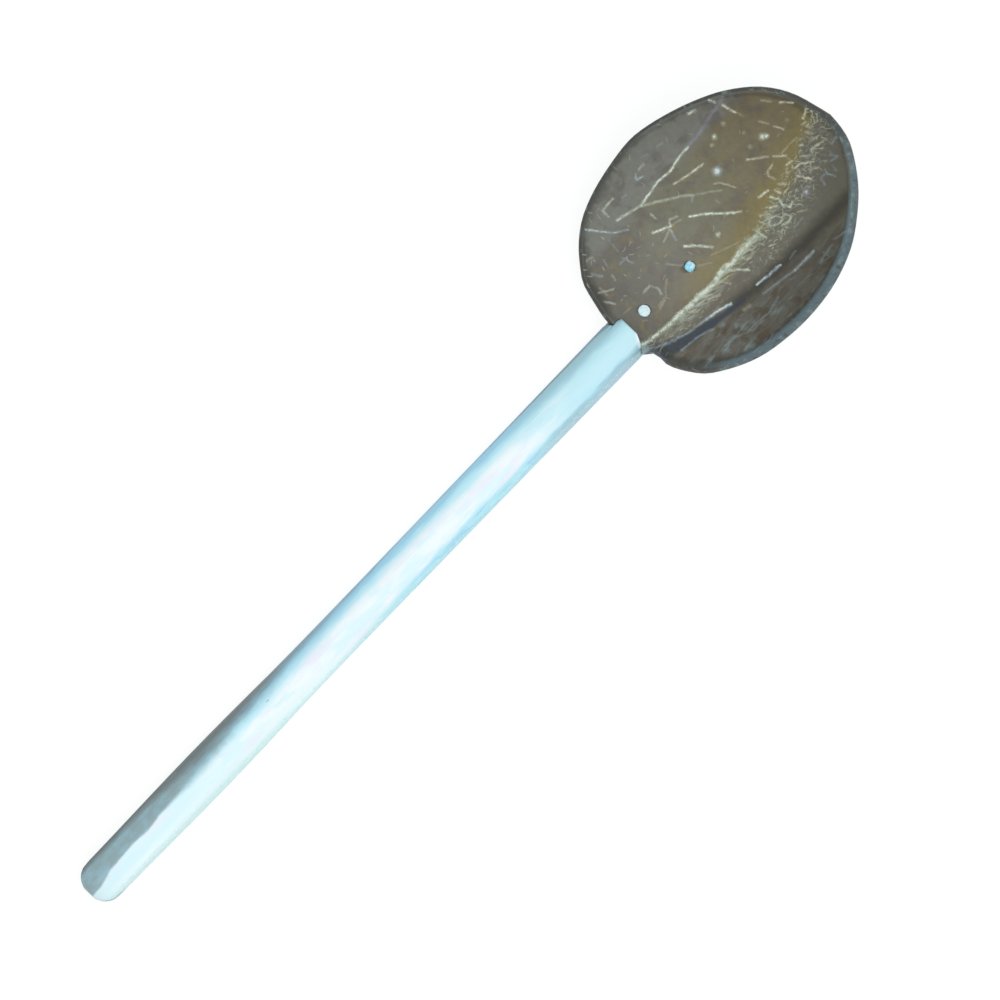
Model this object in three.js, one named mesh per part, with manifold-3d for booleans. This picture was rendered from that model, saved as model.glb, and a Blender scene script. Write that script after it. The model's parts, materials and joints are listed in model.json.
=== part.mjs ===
// Ladle made of a slice of coconut shell, pegged on to a wooden stick.
// Millimetres, +Z up. The ladle lies on its back: the stick runs along X with its butt at -X,
// and the planed underside of the stick and its tongue rest on the plane Z = 0.
import * as THREE from 'three';
import * as BufferGeometryUtils from 'three/addons/utils/BufferGeometryUtils.js';
import Module from 'manifold-3d';

// Bowl, measured in the plane of its rim: X from the neck to the far end, Y across, Z out of the bowl.
const rimLength = 114.7;
const rimWidth = 88.8;
const rimOffset = 3.2;
const rimTaper = 0.33;
const bowlDepth = 23.6;
const bowlFullness = 0.28;
const bowlTilt = THREE.MathUtils.degToRad(23);
const wallRight = 3.9;
const wallLeft = 2.3;
const rimRounding = 0.7;

// Keel: the ridge of the nut outside, which is the crease along the inside of the bowl.
const keelHeight = 2.0;
const keelWidth = 9;
const keelEdgeAtNeck = 0.6;
const keelEdgeAtEnd = 2.6;

// Its way across the bowl at even steps from the neck to the far end, as shares of rimWidth.
const creaseWay = [-0.065, -0.088, -0.09, -0.068, -0.0135, 0.036, 0.0315];

// Furrow: a soft hollow to the right of the crease, along the foot of the steep side wall.
// Its way is given like the crease's.
const furrowDepth = 0.9;
const furrowWidth = 4.5;
const furrowWay = [-0.152, -0.191, -0.221, -0.236, -0.247, -0.248];

// Rim outline from the neck end of the crease to its far end, as shares of rimLength and rimWidth.
const rightOutline = [
  [-0.008, -0.065], [-0.006, -0.095], [0.013, -0.117], [0.02, -0.141], [0.03, -0.201],
  [0.08, -0.303], [0.133, -0.361], [0.22, -0.419], [0.313, -0.452], [0.451, -0.467],
  [0.599, -0.45], [0.737, -0.396], [0.832, -0.317], [0.897, -0.236], [0.948, -0.157],
  [0.979, -0.078], [0.983, 0.032],
];
const leftOutline = [
  [-0.008, -0.065], [-0.01, 0.03], [-0.008, 0.105], [0.006, 0.182], [0.028, 0.267],
  [0.059, 0.325], [0.11, 0.395], [0.176, 0.454], [0.256, 0.494], [0.353, 0.521],
  [0.463, 0.536], [0.545, 0.525], [0.652, 0.489], [0.748, 0.444], [0.822, 0.397],
  [0.898, 0.324], [0.939, 0.252], [0.96, 0.18], [0.971, 0.093], [0.983, 0.032],
];

// Stick: round at the bowl, whittled to six facets at the butt; X = 0 is the shoulder.
// It swells towards the bowl, as a power of the way along it.
const stickLength = 271;
const stickDiameterAtBowl = 17.0;
const stickDiameterAtButt = 15.5;
const stickSwelling = 2;
const planedAtBowl = 1.6;
const planedAtButt = 0.3;
const facetCount = 6;
const facetCrispness = 30;
const facetRidge = THREE.MathUtils.degToRad(82);
const facetTwist = THREE.MathUtils.degToRad(-48);
const facetFullLength = 40;
const facetFadeLength = 110;

// Butt end, as [distance from the end, share of the stick's radius].
const buttProfile = [
  [0, 0.34], [0.3, 0.43], [0.7, 0.54], [1.2, 0.64], [1.9, 0.75], [3.1, 0.87], [4.8, 0.965], [8, 1],
];

// Lip: the upper part of the stick, sawn off square just past the neck of the shell. Its corners
// are whittled off by slanting cuts, each as [start back from the lip, start across, slant].
const lipReach = 3.3;
const lipEdgeRounding = 0.6;
const lipCuts = [
  [0, -1.8, THREE.MathUtils.degToRad(27)],
  [1.6, -5.1, THREE.MathUtils.degToRad(46)],
  [0.3, 5.8, THREE.MathUtils.degToRad(-66)],
];

// Tongue: the lower part of the stick, which runs on under the bowl.
const tongueReach = 46;
const tongueTipShare = 0.78;
const tongueTipRounding = 6;
const tongueRoot = 14;
const tongueWeb = 2.2;

// Pegs: how far along the tongue each one leaves the outer face of the shell, as a share of
// tongueReach, how far left of the middle, and its diameter.
const nearPegAlong = 0.165;
const nearPegY = 1.9;
const nearPegDiameter = 4.4;
const farPegAlong = 0.607;
const farPegY = 1.2;
const farPegDiameter = 3.7;
const pegProud = 0.35;
const pegHeadRounding = 0.5;

// Clearances.
const seatGap = 0.3;
const pegClearance = 0.15;

// Fineness of the faceted surfaces.
const spokesPerSide = 52;
const outerRings = 15;
const innerRings = 17;
const stickSides = 36;
const pegSides = 28;

const wasm = await Module();
wasm.setup();

// Closed solid through a row of rings, capped by a single point at either end.
// Each ring runs anticlockwise seen from the side of the last point.
function loft(firstPoint, rings, lastPoint) {
  const points = [firstPoint, ...rings.flat(), lastPoint];
  const sides = rings[0].length;
  const at = (ring, side) => 1 + ring * sides + (side % sides);
  const faces = [];
  for (let side = 0; side < sides; side++) {
    faces.push(0, at(0, side + 1), at(0, side));
    for (let ring = 0; ring + 1 < rings.length; ring++) {
      faces.push(at(ring, side), at(ring, side + 1), at(ring + 1, side + 1));
      faces.push(at(ring, side), at(ring + 1, side + 1), at(ring + 1, side));
    }
    faces.push(at(rings.length - 1, side), at(rings.length - 1, side + 1), points.length - 1);
  }
  const geometry = new THREE.BufferGeometry().setFromPoints(points);
  geometry.setIndex(faces);
  return geometry;
}

// Shared corners are merged and triangles that shrank to a line are dropped.
function tidied(geometry, sameCorner) {
  geometry.deleteAttribute('normal');
  geometry.deleteAttribute('uv');
  const merged = BufferGeometryUtils.mergeVertices(geometry, sameCorner);
  const index = merged.index.array;
  const triangles = [];
  for (let i = 0; i < index.length; i += 3) {
    const [a, b, c] = [index[i], index[i + 1], index[i + 2]];
    if (a !== b && b !== c && c !== a) {
      triangles.push(a, b, c);
    }
  }
  merged.setIndex(triangles);
  return merged;
}

function toSolid(geometry, placement = new THREE.Matrix4()) {
  const bare = tidied(geometry.clone().applyMatrix4(placement), 1e-5);
  return new wasm.Manifold(new wasm.Mesh({
    numProp: 3,
    vertProperties: new Float32Array(bare.attributes.position.array),
    triVerts: new Uint32Array(bare.index.array),
  }));
}

function toGeometry(solid) {
  const mesh = solid.getMesh();
  const geometry = new THREE.BufferGeometry();
  geometry.setAttribute('position', new THREE.BufferAttribute(mesh.vertProperties, 3));
  geometry.setIndex(new THREE.BufferAttribute(mesh.triVerts, 1));
  const clean = tidied(geometry, 1e-4);
  clean.computeVertexNormals();
  return clean;
}

// Curve from the neck to the far end of the bowl, given by evenly spaced shares of its width.
function acrossCurve(shares) {
  const curve = new THREE.SplineCurve(shares.map((share, i) => new THREE.Vector2(i, share * rimWidth)));
  return (x) => curve.getPoint(THREE.MathUtils.clamp(x / rimLength, 0, 1)).y;
}

const creaseAt = acrossCurve(creaseWay);
const furrowAt = acrossCurve(furrowWay);

// How far a point of the bowl is from its middle, squared; 1 on an egg-shaped rim that is
// wider towards the neck.
function reachSquared(x, y) {
  const along = (x - rimLength / 2) / (rimLength / 2);
  const halfWidth = (rimWidth / 2) * (1 - rimTaper * along / 2);
  const across = (y - rimOffset) / halfWidth;
  return along * along + across * across;
}

// Height of the plain nut's outer face: a little fuller than a parabola.
function nutHeight(x, y) {
  const reach = reachSquared(x, y);
  return -bowlDepth * (1 - reach) * (1 + bowlFullness * reach);
}

// Direction square to the plain nut, pointing into the bowl.
function nutNormal(x, y) {
  const step = 0.01;
  const slopeX = (nutHeight(x + step, y) - nutHeight(x - step, y)) / (2 * step);
  const slopeY = (nutHeight(x, y + step) - nutHeight(x, y - step)) / (2 * step);
  return new THREE.Vector3(-slopeX, -slopeY, 1).normalize();
}

function keelDrop(x, y) {
  const along = THREE.MathUtils.clamp(x / rimLength, 0, 1);
  const edge = THREE.MathUtils.lerp(keelEdgeAtNeck, keelEdgeAtEnd, along);
  const aside = Math.hypot(y - creaseAt(x), edge) - edge;
  return keelHeight * Math.exp(-aside / keelWidth);
}

function furrowDrop(x, y) {
  const aside = (y - furrowAt(x)) / furrowWidth;
  return furrowDepth * Math.exp(-aside * aside);
}

// Point of the shell, a given distance inward from its outer face.
function shellPoint(x, y, inward) {
  const outer = new THREE.Vector3(x, y, nutHeight(x, y) - keelDrop(x, y) - furrowDrop(x, y));
  return outer.addScaledVector(nutNormal(x, y), inward);
}

function wallAt(y) {
  const toLeft = THREE.MathUtils.smoothstep(y, -rimWidth / 2, rimWidth / 2);
  return THREE.MathUtils.lerp(wallRight, wallLeft, toLeft);
}

// Rim points, anticlockwise seen from above, starting at the neck end of the crease.
function rimSide(outline) {
  const points = outline.map(([x, y]) => new THREE.Vector2(x * rimLength, y * rimWidth));
  return new THREE.SplineCurve(points).getSpacedPoints(spokesPerSide);
}

const rightRim = rimSide(rightOutline);
const leftRim = rimSide(leftOutline).reverse();
const rim = [...rightRim.slice(0, -1), ...leftRim.slice(0, -1)];
const creaseStart = rightRim[0];
const creaseEnd = leftRim[0];
const hub = creaseStart.clone().lerp(creaseEnd, 0.5);

// Point on the way from the hub to the rim. The spokes near the crease bend with it,
// so that a row of corners runs along its bottom.
function spokePoint(rimPoint, share) {
  const point = hub.clone().lerp(rimPoint, share);
  const along = (point.x - creaseStart.x) / (creaseEnd.x - creaseStart.x);
  const straight = THREE.MathUtils.lerp(creaseStart.y, creaseEnd.y, along);
  const aside = (point.y - straight) / (rimWidth / 4);
  const hold = Math.max(0, 1 - aside * aside) ** 2;
  const inside = along > 0 && along < 1;
  point.y += inside ? hold * (creaseAt(point.x) - straight) : 0;
  return point;
}

// Ring of the shell: share of the way out, distance back from the rim, and depth from the outer face.
function shellRing(share, back, depthAt) {
  return rim.map((rimPoint) => {
    const reach = share * (1 - back / rimPoint.distanceTo(hub));
    const point = spokePoint(rimPoint, reach);
    return shellPoint(point.x, point.y, depthAt(wallAt(point.y)));
  });
}

function hubPoint(depthAt) {
  const point = spokePoint(hub, 0);
  return shellPoint(point.x, point.y, depthAt(wallAt(point.y)));
}

// The shell, or the room that it takes up in the stick when it is grown by a gap all round.
function shellGeometry(grow) {
  const edge = rimRounding;
  const outer = () => -grow;
  const inner = (wall) => wall + grow;
  const rings = [];
  for (let i = 1; i <= outerRings; i++) {
    rings.push(shellRing(Math.sin((i / outerRings) * Math.PI / 2), edge - grow, outer));
  }
  rings.push(shellRing(1, 0.3 * edge - grow, () => 0.3 * edge - grow));
  rings.push(shellRing(1, -grow, () => edge - grow));
  rings.push(shellRing(1, -grow, (wall) => wall - edge + grow));
  rings.push(shellRing(1, 0.3 * edge - grow, (wall) => wall - 0.3 * edge + grow));
  for (let i = innerRings; i >= 1; i--) {
    rings.push(shellRing(Math.sin((i / innerRings) * Math.PI / 2), edge - grow, inner));
  }
  return loft(hubPoint(outer), rings, hubPoint(inner));
}

// Everything above the outer face of the shell, carried on past the rim, for seating the tongue.
function seatGeometry(height, overlap) {
  const below = [];
  for (let i = 1; i <= outerRings; i++) {
    below.push(shellRing(i / outerRings, -overlap, () => -seatGap));
  }
  const lifted = below[outerRings - 1].map((point) => point.clone().setZ(height));
  return loft(hubPoint(() => -seatGap), [...below, lifted], new THREE.Vector3(hub.x, hub.y, height));
}

// Ring of the stick at x; the shares narrow it across and shrink it upwards and downwards.
function stickRing(x, across = 1, up = across) {
  const along = (x + stickLength) / stickLength;
  const swollen = along ** stickSwelling;
  const radius = THREE.MathUtils.lerp(stickDiameterAtButt, stickDiameterAtBowl, swollen) / 2;
  const planed = THREE.MathUtils.lerp(planedAtButt, planedAtBowl, along);
  const fromButt = x + stickLength;
  const facetEnd = facetFullLength + facetFadeLength;
  const faceted = 1 - THREE.MathUtils.smoothstep(fromButt, facetFullLength, facetEnd);
  const turn = facetRidge + facetTwist * THREE.MathUtils.smoothstep(fromButt, 0, facetEnd);
  const ring = [];
  for (let side = 0; side < stickSides; side++) {
    const angle = (side / stickSides) * 2 * Math.PI;
    const share = THREE.MathUtils.lerp(1, facetShare(angle), faceted);
    const y = Math.cos(angle + turn) * radius * share * across;
    const z = Math.sin(angle + turn) * radius * share * up;
    ring.push(new THREE.Vector3(x, y, z + radius - planed));
  }
  return ring;
}

// Radius of a polygon with softened ridges, one of them at angle 0, as a share of the round stick's.
function facetShare(angle) {
  let sum = 0;
  for (let facet = 0; facet < facetCount; facet++) {
    const lean = Math.cos(angle - ((facet + 0.5) / facetCount) * 2 * Math.PI);
    sum += Math.max(0, lean) ** facetCrispness;
  }
  return 1 / sum ** (1 / facetCrispness);
}

function ringMiddle(ring) {
  const middle = new THREE.Vector3();
  ring.forEach((point) => middle.addScaledVector(point, 1 / ring.length));
  return middle;
}

function stickGeometry() {
  const rings = buttProfile.map(([back, share]) => stickRing(-stickLength + back, share));
  const buttEnd = buttProfile.at(-1)[0] - stickLength;
  const spans = 26;
  for (let i = 1; i < spans; i++) {
    rings.push(stickRing(THREE.MathUtils.lerp(buttEnd, lipReach - lipEdgeRounding, i / spans)));
  }
  const steps = 3;
  for (let i = 0; i <= steps; i++) {
    const angle = (i / steps) * Math.PI / 2;
    const back = lipEdgeRounding * (1 - Math.sin(angle));
    const share = 1 - (2 * lipEdgeRounding * (1 - Math.cos(angle))) / stickDiameterAtBowl;
    rings.push(stickRing(lipReach - back, share));
  }
  return loft(ringMiddle(rings[0]), rings, ringMiddle(rings.at(-1)));
}

// Block that a slanting cut takes off a corner of the lip.
function lipCutGeometry(back, across, slant) {
  const size = 2 * stickDiameterAtBowl;
  const block = new THREE.BoxGeometry(size, size, size).translate(size / 2, 0, 0);
  return block.rotateZ(-slant).translate(lipReach - back, across, 0);
}

function tongueGeometry() {
  const rings = [stickRing(-tongueRoot, 0.9), stickRing(0, 1)];
  const roundStart = tongueReach - tongueTipRounding;
  const spans = 5;
  for (let i = 1; i <= spans; i++) {
    const share = THREE.MathUtils.lerp(1, tongueTipShare, i / spans);
    rings.push(stickRing((roundStart * i) / spans, share, 1));
  }
  const steps = 6;
  for (let i = 1; i <= steps; i++) {
    const angle = (i / steps) * Math.PI * 0.45;
    const share = tongueTipShare * Math.cos(angle);
    rings.push(stickRing(roundStart + tongueTipRounding * Math.sin(angle), share, 1));
  }
  return loft(ringMiddle(rings[0]), rings, ringMiddle(rings.at(-1)));
}

// The bowl is seated so low that its lowest point over the tongue leaves just the web of wood.
function seatHeight() {
  const turned = new THREE.Matrix4().makeRotationY(-bowlTilt);
  let lowest = Infinity;
  for (let i = 1; i < outerRings; i++) {
    shellRing(i / outerRings, 0, () => 0).forEach((point) => {
      const placed = point.applyMatrix4(turned);
      const overTongue = Math.abs(placed.y) < stickDiameterAtBowl / 2 && placed.x < tongueReach;
      lowest = overTongue ? Math.min(lowest, placed.z) : lowest;
    });
  }
  return tongueWeb + seatGap - lowest;
}

const bowl = new THREE.Group();
bowl.rotation.y = -bowlTilt;
bowl.position.z = seatHeight();
bowl.updateMatrix();

// Placement of a peg in the bowl: its own Z runs square to the wall and points into the bowl.
function pegPlacement(x, y) {
  const turn = new THREE.Quaternion().setFromUnitVectors(new THREE.Vector3(0, 0, 1), nutNormal(x, y));
  return new THREE.Matrix4().compose(shellPoint(x, y, 0), turn, new THREE.Vector3(1, 1, 1));
}

const pegLength = 2 * stickDiameterAtBowl;

function pegGeometry(x, y, diameter) {
  const radius = diameter / 2;
  const wall = wallAt(y);
  const top = wall + pegProud;
  const profile = [
    new THREE.Vector2(0, -pegLength),
    new THREE.Vector2(radius, -pegLength),
    new THREE.Vector2(radius, top - pegHeadRounding),
    new THREE.Vector2(radius - 0.3 * pegHeadRounding, top - 0.3 * pegHeadRounding),
    new THREE.Vector2(radius - pegHeadRounding, top),
    new THREE.Vector2(0, top),
  ];
  return new THREE.LatheGeometry(profile, pegSides).rotateX(Math.PI / 2);
}

function pegHoleGeometry(diameter) {
  const radius = diameter / 2 + pegClearance;
  return new THREE.CylinderGeometry(radius, radius, 2 * pegLength, pegSides).rotateX(Math.PI / 2);
}

const pegs = [
  { name: 'peg_near', x: nearPegAlong * tongueReach, y: nearPegY, diameter: nearPegDiameter },
  { name: 'peg_far', x: farPegAlong * tongueReach, y: farPegY, diameter: farPegDiameter },
];

const shellMaterial = new THREE.MeshStandardMaterial({ color: 0x6e6d5e, roughness: 0.42, metalness: 0 });
const stickMaterial = new THREE.MeshStandardMaterial({ color: 0xdff0ee, roughness: 0.62, metalness: 0 });
const pegMaterial = new THREE.MeshStandardMaterial({ color: 0xcdeef2, roughness: 0.6, metalness: 0 });

// Block of space above the resting plane, which trims whatever is planed flat underneath.
const room = 4 * stickLength;
const aboveRest = new THREE.BoxGeometry(room, room, room).translate(0, 0, room / 2);

let shell = toSolid(shellGeometry(0));
let stick = toSolid(stickGeometry()).subtract(toSolid(shellGeometry(seatGap), bowl.matrix));
lipCuts.forEach((cut) => {
  stick = stick.subtract(toSolid(lipCutGeometry(...cut)));
});
const seat = toSolid(seatGeometry(4 * bowlDepth, tongueRoot), bowl.matrix);
stick = stick.add(toSolid(tongueGeometry()).subtract(seat)).intersect(toSolid(aboveRest));

for (const peg of pegs) {
  const placement = pegPlacement(peg.x, peg.y);
  const inLadle = bowl.matrix.clone().multiply(placement);
  shell = shell.subtract(toSolid(pegHoleGeometry(peg.diameter), placement));
  stick = stick.subtract(toSolid(pegHoleGeometry(peg.diameter), inLadle));
  const blank = toSolid(pegGeometry(peg.x, peg.y, peg.diameter));
  const trimmed = blank.intersect(toSolid(aboveRest, inLadle.clone().invert()));
  peg.mesh = new THREE.Mesh(toGeometry(trimmed), pegMaterial);
  peg.mesh.name = peg.name;
  placement.decompose(peg.mesh.position, peg.mesh.quaternion, peg.mesh.scale);
}

const shellBowl = new THREE.Mesh(toGeometry(shell), shellMaterial);
shellBowl.name = 'shell_bowl';
const handle = new THREE.Mesh(toGeometry(stick), stickMaterial);
handle.name = 'handle';
bowl.add(shellBowl, ...pegs.map((peg) => peg.mesh));

// The origin is under the middle of the whole ladle, on the plane that it rests on.
const lying = new THREE.Group().add(bowl, handle);
const extent = new THREE.Box3().setFromObject(lying, true);
const middle = extent.getCenter(new THREE.Vector3());
lying.position.set(-middle.x, -middle.y, -extent.min.z);

const ladle = new THREE.Group().add(lying);
ladle.name = 'coconut_shell_ladle';

export default ladle;
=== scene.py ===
"""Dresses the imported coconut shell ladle: polished shell, bare stick, pegs and a plain studio."""

import json
import logging
import math

from collections.abc import Callable
from dataclasses import dataclass
from enum import Enum
from functools import reduce

import bpy
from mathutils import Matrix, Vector
from mathutils.kdtree import KDTree

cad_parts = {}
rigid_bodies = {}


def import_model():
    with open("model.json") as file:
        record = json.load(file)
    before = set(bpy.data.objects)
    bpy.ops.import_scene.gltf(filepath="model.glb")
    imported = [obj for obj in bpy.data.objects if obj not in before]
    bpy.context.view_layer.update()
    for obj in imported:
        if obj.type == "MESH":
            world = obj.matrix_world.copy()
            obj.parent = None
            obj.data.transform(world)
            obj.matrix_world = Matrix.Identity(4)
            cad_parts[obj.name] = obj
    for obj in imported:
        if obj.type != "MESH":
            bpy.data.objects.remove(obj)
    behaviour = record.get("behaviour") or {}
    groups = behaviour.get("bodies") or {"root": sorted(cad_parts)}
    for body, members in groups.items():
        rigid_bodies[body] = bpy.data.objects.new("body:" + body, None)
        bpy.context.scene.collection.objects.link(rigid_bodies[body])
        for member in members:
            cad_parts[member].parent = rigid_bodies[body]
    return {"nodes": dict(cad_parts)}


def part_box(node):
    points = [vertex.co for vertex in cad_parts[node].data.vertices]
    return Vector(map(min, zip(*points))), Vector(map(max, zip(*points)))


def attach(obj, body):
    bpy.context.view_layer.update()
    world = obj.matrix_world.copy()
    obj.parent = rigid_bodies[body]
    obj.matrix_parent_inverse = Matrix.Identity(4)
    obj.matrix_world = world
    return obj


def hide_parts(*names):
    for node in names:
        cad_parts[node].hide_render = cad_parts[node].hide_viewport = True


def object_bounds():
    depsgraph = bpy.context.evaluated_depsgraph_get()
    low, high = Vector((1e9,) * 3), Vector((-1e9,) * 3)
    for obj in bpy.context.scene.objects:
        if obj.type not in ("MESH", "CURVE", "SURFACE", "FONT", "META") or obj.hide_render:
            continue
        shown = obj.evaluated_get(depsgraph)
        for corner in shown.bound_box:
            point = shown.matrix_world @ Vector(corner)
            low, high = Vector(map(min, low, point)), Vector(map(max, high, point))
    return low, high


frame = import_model()
CAD_LOW, CAD_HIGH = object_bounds()

LOG = logging.getLogger("ladle")
MM = 0.001
SAME_CORNER = 0.0005 * MM
TO_RIM = "to_rim"

Triple = tuple[float, float, float]
Pair = tuple[float, float]


def paint(*channels: int) -> Triple:
    """Gives the linear colour of a paint chip.

    Args:
        channels: Its red, green and blue, from 0 to 255, as a screen shows them.

    Returns:
        The three linear shares of light.
    """
    shares = (channel / 255 for channel in channels)
    return tuple(s / 12.92 if s <= 0.04045 else ((s + 0.055) / 1.055) ** 2.4 for s in shares)


# Node maths.


class Value:
    """What a node gives, reckoned with as in plain maths."""

    def __init__(self, nodes: "Nodes", socket: bpy.types.NodeSocket) -> None:
        """Wraps a node's output.

        Args:
            nodes: The material's nodes, to which new ones are added.
            socket: The output.
        """
        self.nodes = nodes
        self.socket = socket

    def __add__(self, other: "Value | float") -> "Value":
        """Adds."""
        return self.nodes.math("ADD", self, other)

    __radd__ = __add__

    def __sub__(self, other: "Value | float") -> "Value":
        """Takes the other away."""
        return self.nodes.math("SUBTRACT", self, other)

    def __rsub__(self, other: float) -> "Value":
        """Is taken away from a number."""
        return self.nodes.math("SUBTRACT", other, self)

    def __mul__(self, other: "Value | float") -> "Value":
        """Multiplies."""
        return self.nodes.math("MULTIPLY", self, other)

    __rmul__ = __mul__

    def __truediv__(self, other: "Value | float") -> "Value":
        """Divides by the other."""
        return self.nodes.math("DIVIDE", self, other)

    def __abs__(self) -> "Value":
        """Drops the sign."""
        return self.nodes.math("ABSOLUTE", self)

    def lower(self, other: "Value | float") -> "Value":
        """Keeps the lower of the two."""
        return self.nodes.math("MINIMUM", self, other)

    def higher(self, other: "Value | float") -> "Value":
        """Keeps the higher of the two."""
        return self.nodes.math("MAXIMUM", self, other)

    def fade(self, none: float, full: float, most: float = 1.0) -> "Value":
        """Turns the value into a soft mask.

        Args:
            none: Where the mask is nothing.
            full: Where the mask is whole, above or below the other.
            most: What the whole mask counts for.

        Returns:
            The mask, from 0 to most.
        """
        ends = {"From Min": none, "From Max": full, "To Min": 0.0, "To Max": most}
        settings = {"interpolation_type": "SMOOTHSTEP"}
        return self.nodes.add("ShaderNodeMapRange", settings, {"Value": self, **ends})

    def stretched(self, *factors: float) -> "Value":
        """Multiplies each axis of a point by its factor."""
        return self.nodes.vector("MULTIPLY", self, factors)

    def turned(self, angle: "Value | float") -> "Value":
        """Turns a point about the upright axis."""
        sockets = {"Vector": self, "Angle": angle}
        return self.nodes.add("ShaderNodeVectorRotate", {"rotation_type": "Z_AXIS"}, sockets)

    def parts(self) -> tuple["Value", "Value", "Value"]:
        """Takes a vector apart."""
        split = self.nodes.add("ShaderNodeSeparateXYZ", sockets={0: self})
        return tuple(Value(self.nodes, output) for output in split.socket.node.outputs)

    def noise(self, size: float, detail: float, output: str | int = 0) -> "Value":
        """Adds a cloudy noise, read at this point.

        Args:
            size: How large its clouds are, in the point's own unit.
            detail: How many finer layers it has.
            output: The output that is wanted, a number or a colour.

        Returns:
            The noise, about 0.5 on average.
        """
        sockets = {"Vector": self, "Scale": 1 / size, "Detail": detail, "Roughness": 0.55}
        return self.nodes.add("ShaderNodeTexNoise", {}, sockets, output)

    def away_from(self, path: tuple[Pair, ...]) -> "Value":
        """Measures how far this point is from a line of straight runs, seen in plan.

        Args:
            path: The points of the line.

        Returns:
            The distance, in the point's own unit.
        """
        runs = []
        for start, end in zip(path, path[1:]):
            run = Vector(end) - Vector(start)
            from_start = self.nodes.vector("SUBTRACT", self, (*start, 0.0))
            reach = (*(run / run.length_squared), 0.0)
            share = self.nodes.vector("DOT_PRODUCT", from_start, reach, output="Value")
            foot = self.nodes.scaled((*run, 0.0), share.higher(0.0).lower(1.0))
            runs.append(self.nodes.vector("DISTANCE", from_start, foot, output="Value"))
        return reduce(Value.lower, runs)


Feed = Value | float | Triple


class Nodes:
    """The nodes of one material or of the sky."""

    def __init__(self, owner: bpy.types.Material | bpy.types.World) -> None:
        """Starts with no nodes.

        Args:
            owner: The material or the sky.
        """
        owner.use_nodes = True
        self.owner = owner
        self.tree = owner.node_tree
        self.tree.nodes.clear()

    def feed(self, socket: bpy.types.NodeSocket, value: Feed) -> None:
        """Links or sets one input.

        Args:
            socket: The input.
            value: What it takes: a node's value, a number, or three of them.
        """
        if isinstance(value, Value):
            self.tree.links.new(value.socket, socket)
        elif socket.type == "RGBA":
            socket.default_value = (*value, 1.0)
        else:
            socket.default_value = value

    def add(
        self,
        kind: str,
        settings: dict[str, object] | None = None,
        sockets: dict[str | int, Feed] | None = None,
        output: str | int = 0,
    ) -> Value:
        """Adds a node.

        Args:
            kind: The node's type.
            settings: Its settings.
            sockets: What its inputs take.
            output: The output that is wanted.

        Returns:
            That output.
        """
        node = self.tree.nodes.new(kind)
        for name, setting in (settings or {}).items():
            setattr(node, name, setting)
        for name, value in (sockets or {}).items():
            self.feed(node.inputs[name], value)
        return Value(self, node.outputs[output])

    def math(self, operation: str, *terms: Value | float) -> Value:
        """Adds a Math node on up to three terms."""
        return self.add("ShaderNodeMath", {"operation": operation}, dict(enumerate(terms)))

    def vector(self, operation: str, *terms: Feed, output: str = "Vector") -> Value:
        """Adds a Vector Math node on up to three vectors."""
        settings = {"operation": operation}
        return self.add("ShaderNodeVectorMath", settings, dict(enumerate(terms)), output)

    def scaled(self, vector: Feed, scale: Value | float) -> Value:
        """Stretches a vector by a number."""
        return self.add("ShaderNodeVectorMath", {"operation": "SCALE"}, {0: vector, "Scale": scale})

    def mix(self, share: Value | float, under: Feed, over: Feed) -> Value:
        """Lays one colour over another, as far as a share says."""
        return self.add("ShaderNodeMix", {"data_type": "RGBA"}, {0: share, 6: under, 7: over}, 2)

    def add_output(self, shader: Value, kind: str = "ShaderNodeOutputMaterial") -> None:
        """Sends a shader to the surface of the material or of the sky."""
        output = self.tree.nodes.new(kind)
        self.feed(output.inputs["Surface"], shader)


class Coat:
    """The paint of one material: where it is read, in millimetres, and its colour so far."""

    def __init__(self, name: str, origin: Vector, base: Triple, in_plan: bool = False) -> None:
        """Starts a material with its first colour.

        Args:
            name: Its name.
            origin: The point that its places are measured from, in metres in the frame.
            base: The colour.
            in_plan: Whether it is read in plan, alike at every height.
        """
        self.nodes = Nodes(bpy.data.materials.new(name))
        found = self.nodes.add("ShaderNodeTexCoord", output="Object")
        factors = (1 / MM, 1 / MM, 0.0 if in_plan else 1 / MM)
        shift = tuple(-o * f for o, f in zip(origin, factors))
        self.point = self.nodes.vector("MULTIPLY_ADD", found, factors, shift)
        self.along, self.aside, self.up = self.point.parts()
        self.colour: Feed = base

    def noise(self, size: float, detail: float, stretch: Triple | None = None) -> Value:
        """Adds a cloudy noise, drawn out along the axes where a stretch is given."""
        point = self.point.stretched(*stretch) if stretch else self.point
        return point.noise(size, detail)

    def lay(self, share: Value, over: Feed) -> None:
        """Lays another colour over the paint, as far as a share says."""
        self.colour = self.nodes.mix(share, self.colour, over)

    def dim(self, factor: Value) -> None:
        """Multiplies the colour by a factor."""
        self.colour = self.nodes.scaled(self.colour, factor)

    def finish(
        self, roughness: Feed, relief: Value, depth: float, specular: float
    ) -> bpy.types.Material:
        """Closes the material with its shader.

        Args:
            roughness: How rough it is.
            relief: The height of its fine relief.
            depth: What a height of one stands for, in metres.
            specular: The level of its mirror-like gloss.

        Returns:
            The finished material.
        """
        bump = {"Height": relief, "Distance": depth, "Strength": 1.0}
        normal = self.nodes.add("ShaderNodeBump", sockets=bump)
        sockets = {"Base Color": self.colour, "Roughness": roughness, "Normal": normal}
        sockets["Specular IOR Level"] = specular
        self.nodes.add_output(self.nodes.add("ShaderNodeBsdfPrincipled", sockets=sockets))
        return self.nodes.owner


# Veins of the shell, drawn one by one.


class Tone(Enum):
    """The colours of the veins and flecks."""

    CREAM = paint(194, 188, 160)
    PALE = paint(196, 206, 186)
    LIGHT = paint(180, 198, 206)
    COOL = paint(152, 168, 172)
    LILAC = paint(158, 156, 174)


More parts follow.
